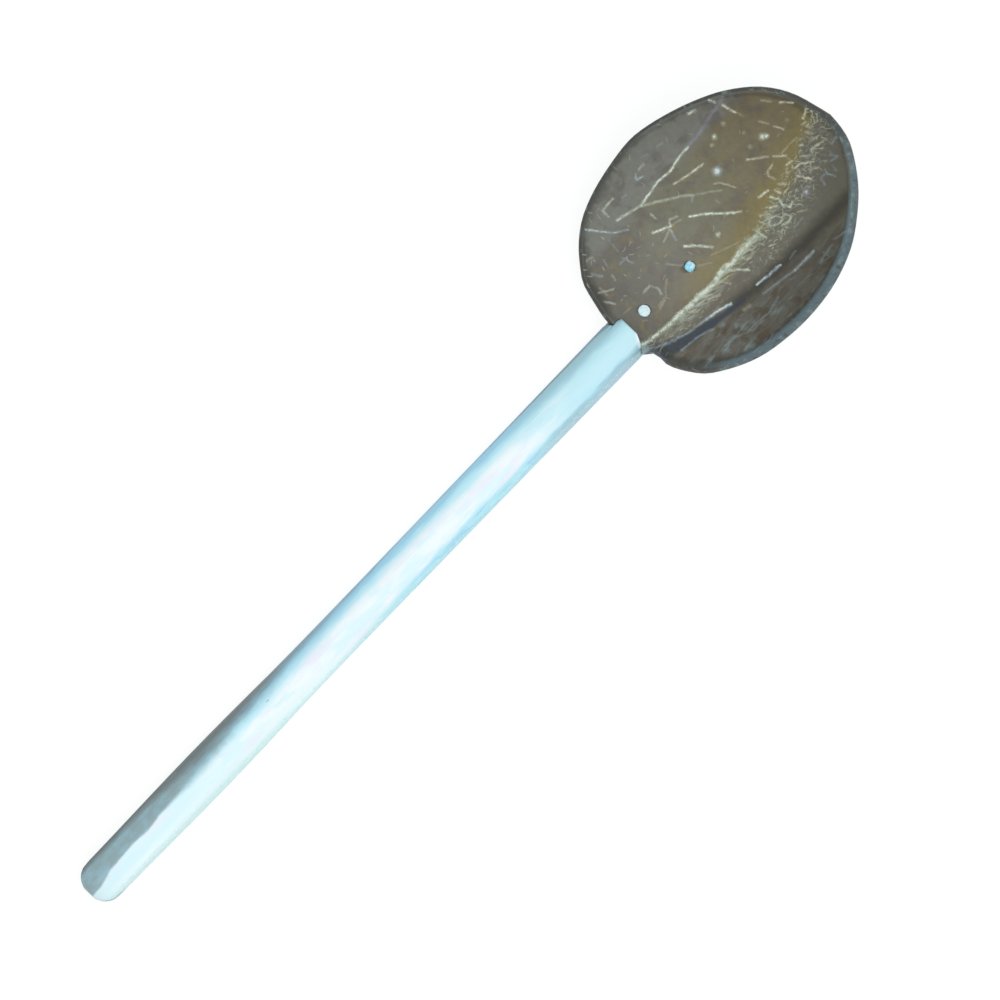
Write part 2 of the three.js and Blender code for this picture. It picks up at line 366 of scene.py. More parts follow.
@dataclass(frozen=True)
class Vein:
    """A fibre that the polishing has laid open, as a line over the plan of the bowl.

    Lengths are in millimetres; points are (along, across) from the shoulder of the stick.
    """

    width: float
    strength: float
    path: tuple[Pair, ...]


@dataclass(frozen=True)
class Spot:
    """A round or cloudy patch on the shell, in the same measures."""

    radius: float
    strength: float
    middle: Pair


VEINS: dict[Tone, tuple[Vein, ...]] = {
    Tone.LILAC: (
        Vein(1.6, 0.52, ((82.8, 33.9), (75.5, 32.5), (66.7, 31), (61.9, 30.9))),
    ),
    Tone.PALE: (
        Vein(0.7, 0.95, ((62.4, 30.9), (57.5, 30.4), (52.5, 29.4), (46.4, 30.1), (42.3, 29.3),
             (38.6, 28.7), (36.8, 28.3))),
        Vein(0.9, 0.78, ((36.8, 28.3), (32.4, 29.5), (27.1, 30.8))),
        Vein(0.8, 0.6, ((36.7, 28.2), (40.7, 25.7), (44.1, 23.5), (48.5, 20.7), (51.7, 17.9))),
        Vein(0.5, 0.4, ((51.7, 17.9), (55.7, 15.2), (60, 11.8))),
        Vein(0.9, 1.0, ((79.1, 36.7), (80.1, 34.9))),
        Vein(0.8, 0.9, ((70.9, 38.7), (73.2, 37.8))),
        Vein(0.8, 0.5, ((45.1, 37.7), (47.4, 37.8))),
        Vein(0.5, 0.7, ((31.4, 37.2), (27.9, 37), (25.8, 36.9), (25.8, 33.9))),
        Vein(0.6, 0.6, ((36.8, 23.8), (36.9, 21.5))),
        Vein(0.7, 0.95, ((32.6, 18.8), (38.5, 15.9))),
        Vein(0.5, 0.7, ((38.7, 16.3), (39.9, 17.9), (42.7, 16.7))),
        Vein(0.5, 0.5, ((37.7, 15.7), (33, 13.8))),
        Vein(0.7, 1.0, ((45.6, 13.6), (50.3, 10), (57.6, 3))),
        Vein(0.6, 0.75, ((81.1, 6.9), (84.2, 4.1))),
        Vein(0.6, 0.85, ((70, -2), (71.7, -4.8), (71.2, -6.8), (72.3, -9.5), (74.2, -8.9))),
        Vein(0.5, 0.8, ((62.8, -8.5), (64.5, -7.2), (66.7, -8.1), (67.8, -10.3), (65.8, -11),
             (63.8, -9.8))),
        Vein(0.5, 0.75, ((69.2, -9.6), (70.3, -12), (68.5, -12.7), (65.9, -12))),
        Vein(0.8, 0.95, ((36.9, 7.5), (40, 4.7), (43.4, 0.5))),
        Vein(0.5, 0.52, ((15.2, 6.6), (18.5, 6.6), (19.9, 3.9), (19.3, 1.5))),
        Vein(0.6, 0.85, ((41.8, -9.8), (44.5, -12.1), (46.6, -14.5))),
        Vein(0.6, 0.75, ((58.2, -6.9), (58.6, -9.4), (59, -11))),
        Vein(0.5, 0.5, ((4.3, 17.7), (8.3, 15.2))),
        Vein(0.6, 0.6, ((3.4, 14.2), (5.5, 11.1))),
    ),
    Tone.CREAM: (
        Vein(0.6, 0.85, ((49.9, 25.4), (56.2, 23.9), (62, 22.9))),
        Vein(0.9, 1.0, ((81.3, 32.1), (82.7, 27.3))),
        Vein(0.6, 0.4, ((82.8, 27.3), (83.5, 24.8))),
        Vein(0.5, 0.45, ((38.5, 15.9), (42.6, 15))),
        Vein(0.6, 0.8, ((57.7, 3.1), (59.5, 1.7))),
        Vein(0.5, 0.7, ((59.9, 15.3), (61.8, 13.6), (64, 9.2))),
        Vein(0.5, 0.6, ((92, 23.6), (93.8, 20.9))),
        Vein(0.6, 0.9, ((95.6, 18.3), (97.1, 17.3), (98.9, 15.1))),
        Vein(0.5, 0.55, ((86.2, 19.2), (87.8, 16.3))),
        Vein(0.6, 0.75, ((88.7, 14.1), (90.2, 11))),
        Vein(0.7, 0.8, ((73.6, 12.9), (76.1, 11.1), (79.7, 8.3))),
        Vein(0.4, 0.5, ((84, 5.6), (86.1, 5.7), (88.2, 5.8), (91.2, 5.8))),
        Vein(0.7, 0.9, ((97.5, 8.8), (98.9, 9.4), (100.5, 10.2))),
        Vein(0.6, 0.7, ((95.6, 7.6), (97.2, 7.1))),
        Vein(0.7, 0.8, ((91.6, -0.7), (94, -1.2), (96.6, -1.9))),
        Vein(0.5, 0.55, ((93.1, 1.5), (96.5, 0.7))),
        Vein(0.6, 0.75, ((90.1, 2.8), (91, 2.4))),
        Vein(0.5, 0.7, ((87.5, 0.1), (89.9, -1.8))),
        Vein(0.5, 0.85, ((83.3, -1.2), (85.6, -1.6), (89.4, -4.5))),
        Vein(0.8, 0.7, ((86.3, -5.3), (88.6, -6.7))),
        Vein(0.6, 0.9, ((81.7, -3.4), (83.2, -5.9), (84.5, -8.2))),
        Vein(0.5, 0.7, ((83.7, -2.4), (83, -4))),
        Vein(0.9, 1.0, ((67.2, 0.7), (71.2, 0.1))),
        Vein(0.7, 0.8, ((73, -1.5), (73.6, -3.7))),
        Vein(0.6, 0.7, ((75.2, -0.9), (77.1, -2.8))),
        Vein(0.5, 0.7, ((78.5, 5.2), (75.7, 4.7), (75, 3.3), (75.6, 1.2))),
        Vein(0.8, 0.9, ((82.1, 1.5), (84.2, 1.3))),
        Vein(0.8, 0.9, ((67.5, -4.7), (69.5, -6))),
        Vein(0.5, 0.55, ((73.1, -12.7), (75.5, -14.4))),
        Vein(0.5, 0.4, ((28.1, 7.6), (31.4, 3.7))),
        Vein(0.4, 0.35, ((34.3, 0), (39.4, -3.2))),
        Vein(0.4, 0.35, ((41.2, -1.4), (51.5, -5.3))),
        Vein(0.4, 0.35, ((24.4, 4.2), (19.6, 0), (16.5, -0.2))),
        Vein(0.5, 0.5, ((18.5, -0.6), (15.3, -1.5))),
        Vein(0.6, 0.7, ((29.4, -11.2), (33.3, -13.2))),
        Vein(0.6, 0.6, ((21.3, -9.3), (23.6, -11.6))),
        Vein(0.5, 0.6, ((37.5, -11.1), (38.7, -13.2))),
        Vein(0.5, 0.65, ((49.8, -8.6), (52.1, -9.6), (52.3, -11.2), (50.2, -12), (48.5, -11.1),
             (48.2, -9.5))),
        Vein(1.2, 0.5, ((35.4, -22.9), (37.8, -23.2))),
        Vein(0.6, 0.4, ((9.3, 28.6), (11.6, 28.2))),
        Vein(0.6, 0.45, ((12.1, 18.7), (11.5, 16.8))),
        Vein(0.5, 0.4, ((5.8, 18.7), (5.7, 15.2))),
        Vein(0.4, 0.35, ((5.3, 6.5), (8.3, 6))),
        Vein(0.5, 0.4, ((18.3, -0.4), (15.6, -0.6))),
    ),
    Tone.COOL: (
        Vein(0.7, 0.8, ((43.1, 37.4), (41.7, 35.8), (44.3, 34.9))),
        Vein(0.7, 0.35, ((48.6, 40.2), (51.1, 38.9))),
        Vein(0.8, 0.5, ((55.1, 38.7), (57.5, 38.3))),
        Vein(0.8, 0.6, ((33.9, 35), (35.5, 34.7))),
        Vein(0.6, 0.85, ((17.1, 36.4), (19.9, 32.5), (22.8, 28.9), (27.4, 25.8))),
        Vein(0.7, 0.75, ((37.6, 14.9), (36.5, 11.2))),
        Vein(0.8, 0.6, ((51.6, 17.8), (50.1, 16.6))),
        Vein(1.0, 0.55, ((98.1, -4.4), (100.9, -4.1))),
        Vein(0.5, 0.65, ((94.7, -6.9), (96.5, -9.1), (93.6, -8.7))),
        Vein(0.5, 0.75, ((90.1, -9.2), (89.5, -10.5), (90.8, -13.4))),
        Vein(0.5, 0.65, ((89.5, -10.5), (86.9, -10), (86.3, -12.8))),
        Vein(0.5, 0.5, ((92.9, -10.1), (92.4, -12.2))),
        Vein(0.5, 0.5, ((68.3, -15.6), (72.6, -15.3))),
        # A painted highlight along the ridge above the slate valley; it goes on in the first light
        # line.
        Vein(0.6, 0.7, ((1.2, -7.2), (5.7, -10.6), (10.4, -12.5), (16.6, -14.6), (24, -15.7))),
        Vein(0.6, 0.65, ((10, -17), (17.4, -17.9), (23.1, -19.8))),
        Vein(1.1, 0.5, ((25.3, -20.9), (26.7, -21.3))),
        Vein(0.6, 0.6, ((44.1, -23.8), (51.9, -25.1), (57.7, -26.1))),
        Vein(0.4, 0.5, ((29.6, -28.9), (35, -29.4), (41.1, -29.9), (46.9, -28.4))),
        Vein(0.4, 0.45, ((21.8, -26.7), (26.7, -27.6), (33.3, -30.2), (37.4, -30.3))),
        Vein(0.5, 0.45, ((65.5, -30.7), (70, -29.6), (72.9, -29.2))),
        Vein(0.4, 0.4, ((69, -29), (69.2, -30.8))),
        Vein(0.6, 0.5, ((79.5, -29.3), (74.6, -28.4))),
        Vein(0.5, 0.4, ((59.4, -22), (62.7, -21.6))),
        Vein(0.6, 0.6, ((7.3, 24.1), (9.2, 21))),
        Vein(0.5, 0.5, ((13.6, 24.1), (13, 22))),
        Vein(0.6, 0.55, ((16.5, 19.5), (19.7, 19.3))),
        Vein(0.5, 0.5, ((18.8, 20.3), (20.1, 16.7))),
        Vein(0.5, 0.4, ((19.9, 28), (19.5, 23.1))),
    ),
    Tone.LIGHT: (
        # A painted highlight along the ridge above the slate valley, going on from the line that
        # starts at the neck.
        Vein(0.8, 0.95, ((24, -15.7), (28.9, -16.6), (33.9, -18.2))),
        Vein(0.8, 1.0, ((44.8, -19.9), (49.9, -20.7), (55.3, -21.1))),
        Vein(0.8, 0.7, ((57.7, -26.1), (62.2, -26.2), (66.8, -26.2))),
    ),
}

SPOTS: dict[Tone, tuple[Spot, ...]] = {
    Tone.LIGHT: (
        Spot(1.7, 0.95, (63.7, 17.6)),
    ),
    Tone.CREAM: (
        Spot(0.8, 0.6, (76.9, 27.6)),
        Spot(0.7, 0.5, (68.8, 25.2)),
        Spot(0.9, 0.35, (77.7, 15.2)),
        Spot(0.7, 0.35, (79.8, 20.1)),
        Spot(0.6, 0.4, (93.3, 12.4)),
        Spot(0.7, 0.5, (95.5, 3.8)),
        Spot(0.7, 0.6, (80.4, -0.7)),
        Spot(0.6, 0.6, (65.4, -4.8)),
    ),
    Tone.PALE: (
        Spot(1.0, 0.8, (71.5, 26.6)),
        Spot(0.9, 0.75, (48, 1.9)),
        Spot(1.3, 1.0, (83.2, 14.6)),
        Spot(1.0, 0.95, (84.3, 13.7)),
    ),
    Tone.LILAC: (
        Spot(1.4, 0.8, (80, -9.9)),
    ),
}

CREASE_LINE: tuple[Pair, ...] = (
    (1.7, -5.9), (4.8, -6.6), (9.4, -7.1), (14.5, -7.8), (18.8, -7.7), (23.2, -8.3),
    (27.5, -8.2), (32.6, -8.9), (37.4, -8.4), (40.7, -7.6), (44.8, -8.5), (48.9, -7.8),
    (52.5, -7.6), (56.4, -7.9),
)


# Finishes.


@dataclass(frozen=True)
class FleckField:
    """Short fibre ends scattered over the shell; lengths are in millimetres, turns in radians."""

    spacing: float
    length: float
    width: float
    curl: float
    heading: float
    spread: float
    share: float
    shift: float

    def mask(self, plan: Value) -> Value:
        """Draws the flecks.

        Args:
            plan: The place, in plan.

        Returns:
            How much of a fleck lies there, from 0 to 1.
        """
        nodes = plan.nodes
        moved = nodes.vector("ADD", plan, (self.shift, 0.7 * self.shift, 0.0))
        settings = {"voronoi_dimensions": "2D"}
        sockets = {"Vector": moved, "Scale": 1 / self.spacing, "Randomness": 0.95}
        draw = nodes.add("ShaderNodeTexVoronoi", settings, sockets, "Color")
        middle = Value(nodes, draw.socket.node.outputs["Position"])
        turn, chance, bow = draw.parts()
        angle = turn * self.spread - (self.heading + self.spread / 2)
        along, aside, _ = nodes.vector("SUBTRACT", moved, middle).turned(angle).parts()
        bend = along * along * ((bow - 0.5) * self.curl)
        line = abs(aside + bend).fade(self.width, 0.15 * self.width)
        reach = (abs(along) / (bow * 0.6 + 0.4)).fade(self.length, 0.4 * self.length)
        return line * reach * chance.fade(self.share, self.share - 0.3)


@dataclass(frozen=True)
class ShellInside:
    """The polished inside of the shell, with its crease, veins and flecks.

    The crease is a curve: factors for the powers of the length over crease_step, highest first.
    """

    olive: Triple = paint(119, 117, 99)
    ochre: Triple = paint(130, 118, 76)
    umber: Triple = paint(122, 111, 86)
    # A painted reflection: the bluish-grey sheen of the sky on the left wall.
    grey: Triple = paint(125, 125, 118)
    plum: Triple = paint(98, 92, 88)
    neck: Triple = paint(107, 104, 96)
    # Painted shade: towards the rim, beside the lip and in the furrow.
    edge: Triple = paint(58, 60, 55)
    shade: Triple = paint(112, 108, 96)
    # Painted shade in the valley next to the neck.
    slate: Triple = paint(62, 70, 80)
    # Dark fibres on the right wall, and painted shade in the furrow.
    dark_fibre_and_shade: Triple = paint(72, 69, 62)
    # The right wall's brown, darkened with painted shade as that wall is turned from the light.
    lobe: Triple = paint(102, 100, 91)
    rust: Triple = paint(86, 75, 61)
    # Painted reflection: cloudy bluish patches near the right rim.
    reflection_teal: Triple = paint(132, 148, 148)
    haze: Triple = paint(178, 187, 172)
    # Painted light: the lit band along the right rim.
    lit_rim_band: Triple = paint(92, 108, 112)
    neck_tip: Triple = paint(158, 180, 182)
    white: Triple = paint(232, 238, 226)
    crease: tuple[float, ...] = (-1.03, 6.74, -4.43, -3.0, -6.2)
    crease_step: float = 50.0
    furrow: tuple[Pair, ...] = ((34.0, -19.4), (50.0, -21.2), (66.9, -22.0), (90.0, -21.9))
    valley: tuple[Pair, ...] = ((2.5, -11.5), (16.0, -16.4), (30.0, -19.3), (38.0, -20.4))
    tip: tuple[Pair, ...] = ((0.8, -5.4), (1.4, -7.5))
    blotch_shift: Triple = (53.0, 9.0, 0.0)
    fray: float = 1.1

    def left_of_crease(self, coat: Coat) -> Value:
        """Measures how far a place lies to the left of the crease.

        Args:
            coat: The paint so far.

        Returns:
            The distance in millimetres, below nothing on the right.
        """
        share = coat.along / self.crease_step
        crease = share * self.crease[0]
        for factor in self.crease[1:-1]:
            crease = (crease + factor) * share
        return coat.aside - (crease + self.crease[-1])

    def ground(self, coat: Coat, across: Value) -> None:
        """Paints the shell without its veins.

        Args:
            coat: The paint so far.
            across: The distance to the left of the crease.
        """
        along, aside = coat.along, coat.aside
        clouds = coat.noise(14, 3) - 0.5
        mottle = coat.noise(4.5, 4) - 0.5
        blotches = coat.nodes.vector("ADD", coat.point, self.blotch_shift).noise(9, 3) - 0.5
        wavy = across + clouds * 12
        coat.lay(along.fade(48, 84) * 0.9, self.umber)
        coat.lay((along + clouds * 30).fade(50, 12) * 0.9, self.neck)
        # Painted reflection: a bluish-grey sheen of the sky over the left wall.
        sheen_area = (aside - along * 0.05 + clouds * 7).fade(23, 29)
        coat.lay(sheen_area * 0.9, self.grey)
        coat.lay((blotches + mottle * 0.5).fade(-0.03, 0.18, 0.6), self.plum)
        warm = (wavy + mottle * 10).fade(13, 1.5) * along.fade(2, 50, 0.9)
        coat.lay(warm, self.ochre)
        coat.lay(mottle.fade(0.03, 0.2, 0.5) * (1.0 - sheen_area), self.ochre)
        coat.lay(wavy.fade(0.5, -4), self.shade)
        # The right wall: its brown mottling, darkened with painted shade as the wall is turned from
        # the light.
        beyond = (aside + along * 0.11 + clouds * 4).fade(-17, -21)
        lobe = coat.nodes.mix((mottle + clouds).fade(-0.02, 0.2, 0.85), self.lobe, self.rust)
        coat.lay(beyond, lobe)

    def streaked(self, coat: Coat) -> None:
        """Draws the long fibres of the steep right wall and its cloudy patches; the bluish ones
        near the rim are a painted reflection.

        Args:
            coat: The paint so far.
        """
        along, aside = coat.along, coat.aside
        fibres = coat.noise(0.9, 4, (0.13, 1.0, 0.0))
        broad = coat.noise(3.0, 3, (0.3, 1.0, 0.0))
        patches = coat.noise(3.2, 4, (0.5, 1.0, 0.0))
        wall = (aside + along * 0.09).fade(-13, -18)
        coat.lay(broad.fade(0.52, 0.38, 0.55) * wall, self.rust)
        coat.lay(broad.fade(0.58, 0.74, 0.2) * wall, Tone.COOL.value)
        # Painted reflection: cloudy bluish patches near the right rim.
        near_rim = (aside - along * 0.1).fade(-21, -27) * along.fade(46, 26)
        coat.lay(patches.fade(0.52, 0.68, 0.7) * near_rim, self.reflection_teal)
        coat.lay(fibres.fade(0.6, 0.78, 0.38) * wall, Tone.COOL.value)
        coat.lay(fibres.fade(0.47, 0.3, 0.4) * wall, self.dark_fibre_and_shade)

    def hollow_shade(self, coat: Coat) -> None:
        """Paints shade into the furrow and the slate-blue valley next to the neck.

        Args:
            coat: The paint so far.
        """
        stir = coat.noise(5, 3) - 0.5
        # Painted shade along the furrow and in the valley.
        furrow = coat.point.away_from(self.furrow) + stir * 3
        coat.lay(furrow.fade(4.6, 0.6, 0.75), self.dark_fibre_and_shade)
        coat.lay(furrow.fade(2.0, 0.2, 0.35), self.edge)
        valley = coat.point.away_from(self.valley) + stir
        coat.lay((valley + coat.along * 0.075).fade(4.0, 2.6, 0.92), self.slate)

    def rim_shade_and_light(self, coat: Coat) -> None:
        """Paints shade on the shell towards its cut edge, with a ragged boundary, the lip's shadow
        beside it and a lit band along the right rim.

        Args:
            coat: The paint so far.
        """
        along, aside = coat.along, coat.aside
        settings = {"attribute_name": TO_RIM}
        to_rim = coat.nodes.add("ShaderNodeAttribute", settings, output="Fac")
        ragged = to_rim + (coat.noise(2.6, 4) - 0.5) * 5
        # Painted shade towards the rim, deeper at the far end.
        far_end = along.fade(80, 100, 2.5) * aside.fade(-6, 6)
        coat.lay((ragged - far_end).fade(4.0, 0.5, 0.5), self.edge)
        # Painted shade just inside the right rim.
        right = aside.fade(2, -14) * along.fade(92, 64)
        coat.lay(ragged.fade(4.6, 1.6, 0.55) * right, self.edge)
        # Painted shadow of the lip on the shell beside it.
        lip_shadow = (aside - along * 0.3).fade(8, 12) * along.fade(10, 3)
        coat.lay(lip_shadow * to_rim.fade(5, 2, 0.6), self.edge)
        # Painted light: the lit band along the right rim, thin and ragged.
        worn = aside.fade(-12, -22) * along.fade(8, 20) * along.fade(98, 86)
        thin = (to_rim + (coat.noise(1.4, 3) - 0.5) * 1.6).fade(2.3, 1.2, 0.9)
        coat.lay(thin * worn, self.lit_rim_band)
        coat.lay(coat.point.away_from(self.tip).fade(2.6, 0.8, 0.5), self.neck_tip)
        # Painted shade: a thin dark line along the left rim.
        left = aside.fade(6, 14) * along.fade(60, 40)
        coat.lay(to_rim.fade(1.8, 0.5, 0.7) * left, self.edge)

    def feathered(self, coat: Coat, across: Value) -> None:
        """Draws the feathery band along the crease and the curls at its far end.

        Args:
            coat: The paint so far.
            across: The distance to the left of the crease.
        """
        along = coat.along
        strands = coat.point.turned(0.3).stretched(0.22, 1.0, 0.0).noise(0.8, 3)
        band = across.fade(0.9, -0.5) * (across + along.fade(50, 10, 2.0)).fade(-4.5, -0.6)
        band = band * along.fade(80, 52) * along.fade(2, 26)
        coat.lay(strands.fade(0.36, 0.62, 0.85) * band, self.haze)
        frayed = coat.noise(1.3, 3).fade(0.42, 0.62)
        clumps = coat.noise(6, 3).fade(0.4, 0.6)
        field = across.fade(4.0, 0.0) * across.fade(-14, -5) * along.fade(42, 58)
        field = field * (clumps * 0.75 + 0.25)
        coat.lay(strands.fade(0.44, 0.72, 0.4) * field, self.haze)
        for size, shift, strength in ((2.9, 0.0, 0.68), (4.6, 37.0, 0.64)):
            terms = (coat.point, (0.8, 1.0, 0.0), (shift, 0.0, 0.0))
            height = coat.nodes.vector("MULTIPLY_ADD", *terms).noise(size, 1) - 0.5
            curl = abs(height).fade(0.12 / size, 0.0, strength)
            coat.lay(curl * frayed * field, Tone.PALE.value)

    def flecked(self, coat: Coat, across: Value) -> Value:
        """Scatters the short flecks along the crease, at the neck and on the right wall.

        Args:
            coat: The paint so far.
            across: The distance to the left of the crease.

        Returns:
            How much fleck there is.
        """
        along, aside = coat.along, coat.aside
        clumps = coat.noise(6, 2).fade(0.3, 0.5) * 0.6 + 0.4
        cluster = across.fade(4.5, 1) * across.fade(-15, -6) * along.fade(42, 60) * clumps
        beside = across.fade(0.5, -1) * across.fade(-10, -4) * along.fade(60, 48) * clumps
        lower = along.fade(32, 18) * aside.fade(6, 12)
        wall = (aside + along * 0.09).fade(-18, -22)
        left = across.fade(2, 8)
        fields = (
            (FleckField(2.6, 1.6, 0.30, 1.2, -0.35, 2.6, 0.8, 3.1), cluster, Tone.CREAM, 0.7),
            (FleckField(3.4, 2.0, 0.30, 0.8, 0.0, 6.3, 0.7, 11.7), cluster, Tone.PALE, 0.7),
            (FleckField(2.4, 1.7, 0.28, 0.5, -0.22, 1.2, 0.9, 23.9), beside, Tone.CREAM, 0.5),
            (FleckField(4.0, 1.6, 0.30, 0.5, 2.4, 2.8, 0.8, 19.9), lower, Tone.CREAM, 0.5),
            (FleckField(4.4, 3.2, 0.26, 0.2, -0.05, 0.5, 0.6, 27.3), wall, Tone.COOL, 0.32),
            (FleckField(5.5, 1.6, 0.26, 0.6, 0.0, 6.3, 0.45, 33.1), left, Tone.CREAM, 0.35),
        )
        masks = []
        for field, area, tone, strength in fields:
            masks.append(field.mask(coat.point) * area * strength)
            coat.lay(masks[-1], tone.value)
        return reduce(Value.higher, masks)

    def veined(self, coat: Coat) -> Value:
        """Draws the listed veins and spots over the ground.

        Args:
            coat: The paint so far.

        Returns:
            How much vein there is.
        """
        nodes = coat.nodes
        stir = coat.point.noise(1.5, 3, "Color")
        least = (-self.fray / 2, -self.fray / 2, 0.0)
        stray = nodes.vector("MULTIPLY_ADD", stir, (self.fray, self.fray, 0.0), least)
        ragged = nodes.vector("ADD", coat.point, stray)
        frayed = coat.noise(0.45, 2) - 0.5
        worn = coat.noise(2.0, 3).fade(0.32, 0.6) * 0.5 + 0.5
        marks: dict[Tone, list[Value]] = {tone: [] for tone in VEINS}
        for tone, veins in VEINS.items():
            for vein in veins:
                away = ragged.away_from(vein.path) + frayed * 0.5
                most = min(1.0, 1.1 * vein.strength**1.4)
                marks[tone].append(away.fade(0.5 * vein.width + 0.42, 0.0, most))
        glints = []
        for tone, spots in SPOTS.items():
            for spot in spots:
                away = nodes.vector("DISTANCE", ragged, (*spot.middle, 0.0), output="Value")
                away = away + frayed * 0.8
                glints.append(away.fade(1.3 * spot.radius + 0.3, 0.0, spot.strength))
                marks[tone].append(glints[-1])
        broader = coat.along.fade(8, 30, 0.35) * coat.along.fade(60, 48)
        line = ragged.away_from(CREASE_LINE) + frayed * 2.2 - broader
        marks[Tone.PALE].append(line.fade(1.15, 0.0, 0.95))
        masks = []
        for tone, drawn in marks.items():
            masks.append(reduce(Value.higher, drawn) * worn)
            coat.lay(masks[-1], tone.value)
        total = reduce(Value.higher, masks)
        coat.lay(total.fade(0.55, 1.0, 0.6), self.white)
        coat.lay(reduce(Value.higher, glints).fade(0.5, 0.9, 0.6), self.white)
        return total

    def material(self, origin: Vector) -> bpy.types.Material:
        """Makes the material.

        Args:
            origin: The shoulder of the stick, in the frame.

        Returns:
            The material.
        """
        coat = Coat("shell_inside", origin, self.olive, in_plan=True)
        across = self.left_of_crease(coat)
        self.ground(coat, across)
        self.streaked(coat)
        self.hollow_shade(coat)
        self.rim_shade_and_light(coat)
        self.feathered(coat, across)
        flecks = self.flecked(coat, across)
        veins = self.veined(coat)
        grain = coat.noise(0.5, 3)
        coat.dim(grain * 0.25 + coat.noise(2.2, 4) * 0.35 + 0.7)
        roughness = grain * 0.12 + 0.36 + veins.higher(flecks) * 0.1
        return coat.finish(roughness, grain, 0.03 * MM, specular=0.3)


@dataclass(frozen=True)
class ShellRim:
    """The cut edge of the shell, painted lit and blue-green on the right and shaded dark on the
    left.
    """

    # Painted light: the rim's lit right side.
    lit_teal: Triple = paint(86, 102, 106)
    # Painted shade: the rim's left side, which faces away from the light.
    dark: Triple = paint(62, 65, 60)
    speck: Triple = paint(120, 134, 134)
    brown: Triple = paint(62, 60, 53)
    neck_tip: Triple = paint(144, 164, 166)
    # Painted shade of the valley where it meets the rim.
    slate: Triple = paint(66, 74, 84)

    def material(self, origin: Vector) -> bpy.types.Material:
        """Makes the material.

        Args:
            origin: The shoulder of the stick, in the frame.

        Returns:
            The material.
        """
        coat = Coat("shell_rim", origin, self.dark)
        along, aside = coat.along, coat.aside
        mottle = coat.noise(2.4, 4)
        # Painted light and shade: the rim lit on the right and shaded dark on the left.
        coat.lay(aside.fade(6, -20), self.lit_teal)
        coat.lay(along.fade(22, 8), self.brown)
        tip = along.fade(6, 2) * aside.fade(-3, -6) * aside.fade(-10, -8)
        coat.lay(tip, self.neck_tip)
        # Painted shade of the valley where it meets the rim.
        valley = along.fade(9, 5) * aside.fade(-8, -10) * aside.fade(-19, -15)
        coat.lay(valley, self.slate)
        coat.lay(mottle.fade(0.52, 0.68, 0.6), self.speck)
        coat.lay(mottle.fade(0.48, 0.32, 0.7), self.brown)
        grain = coat.noise(0.45, 3)
        coat.dim(grain * 0.5 + 0.75)
        return coat.finish(0.5, grain + mottle, 0.08 * MM, specular=0.4)


@dataclass(frozen=True)
class ShellOutside:
    """The scraped outside of the shell, brown with lengthwise fibres."""

    brown: Triple = paint(104, 92, 76)
    dark: Triple = paint(66, 58, 50)
    worn: Triple = paint(120, 112, 92)
    fibre: Triple = paint(158, 142, 112)

    def material(self, origin: Vector) -> bpy.types.Material:
        """Makes the material.

        Args:
            origin: The shoulder of the stick, in the frame.

        Returns:
            The material.
        """
        coat = Coat("shell_outside", origin, self.brown)
        lengthwise = (0.12, 1.0, 1.0)
        bands = coat.noise(4.5, 3, lengthwise)
        threads = coat.noise(0.8, 4, lengthwise)
        coat.lay(bands.fade(0.4, 0.65), self.dark)
        coat.lay(coat.noise(16, 3).fade(0.5, 0.7, 0.5), self.worn)
        coat.lay(threads.fade(0.6, 0.72, 0.75), self.fibre)
        pits = coat.noise(0.9, 3)
        coat.dim(pits * 0.5 + 0.75)
        relief = threads + bands * 2 + pits * 0.5
        return coat.finish(0.42, relief, 0.12 * MM, specular=0.4)


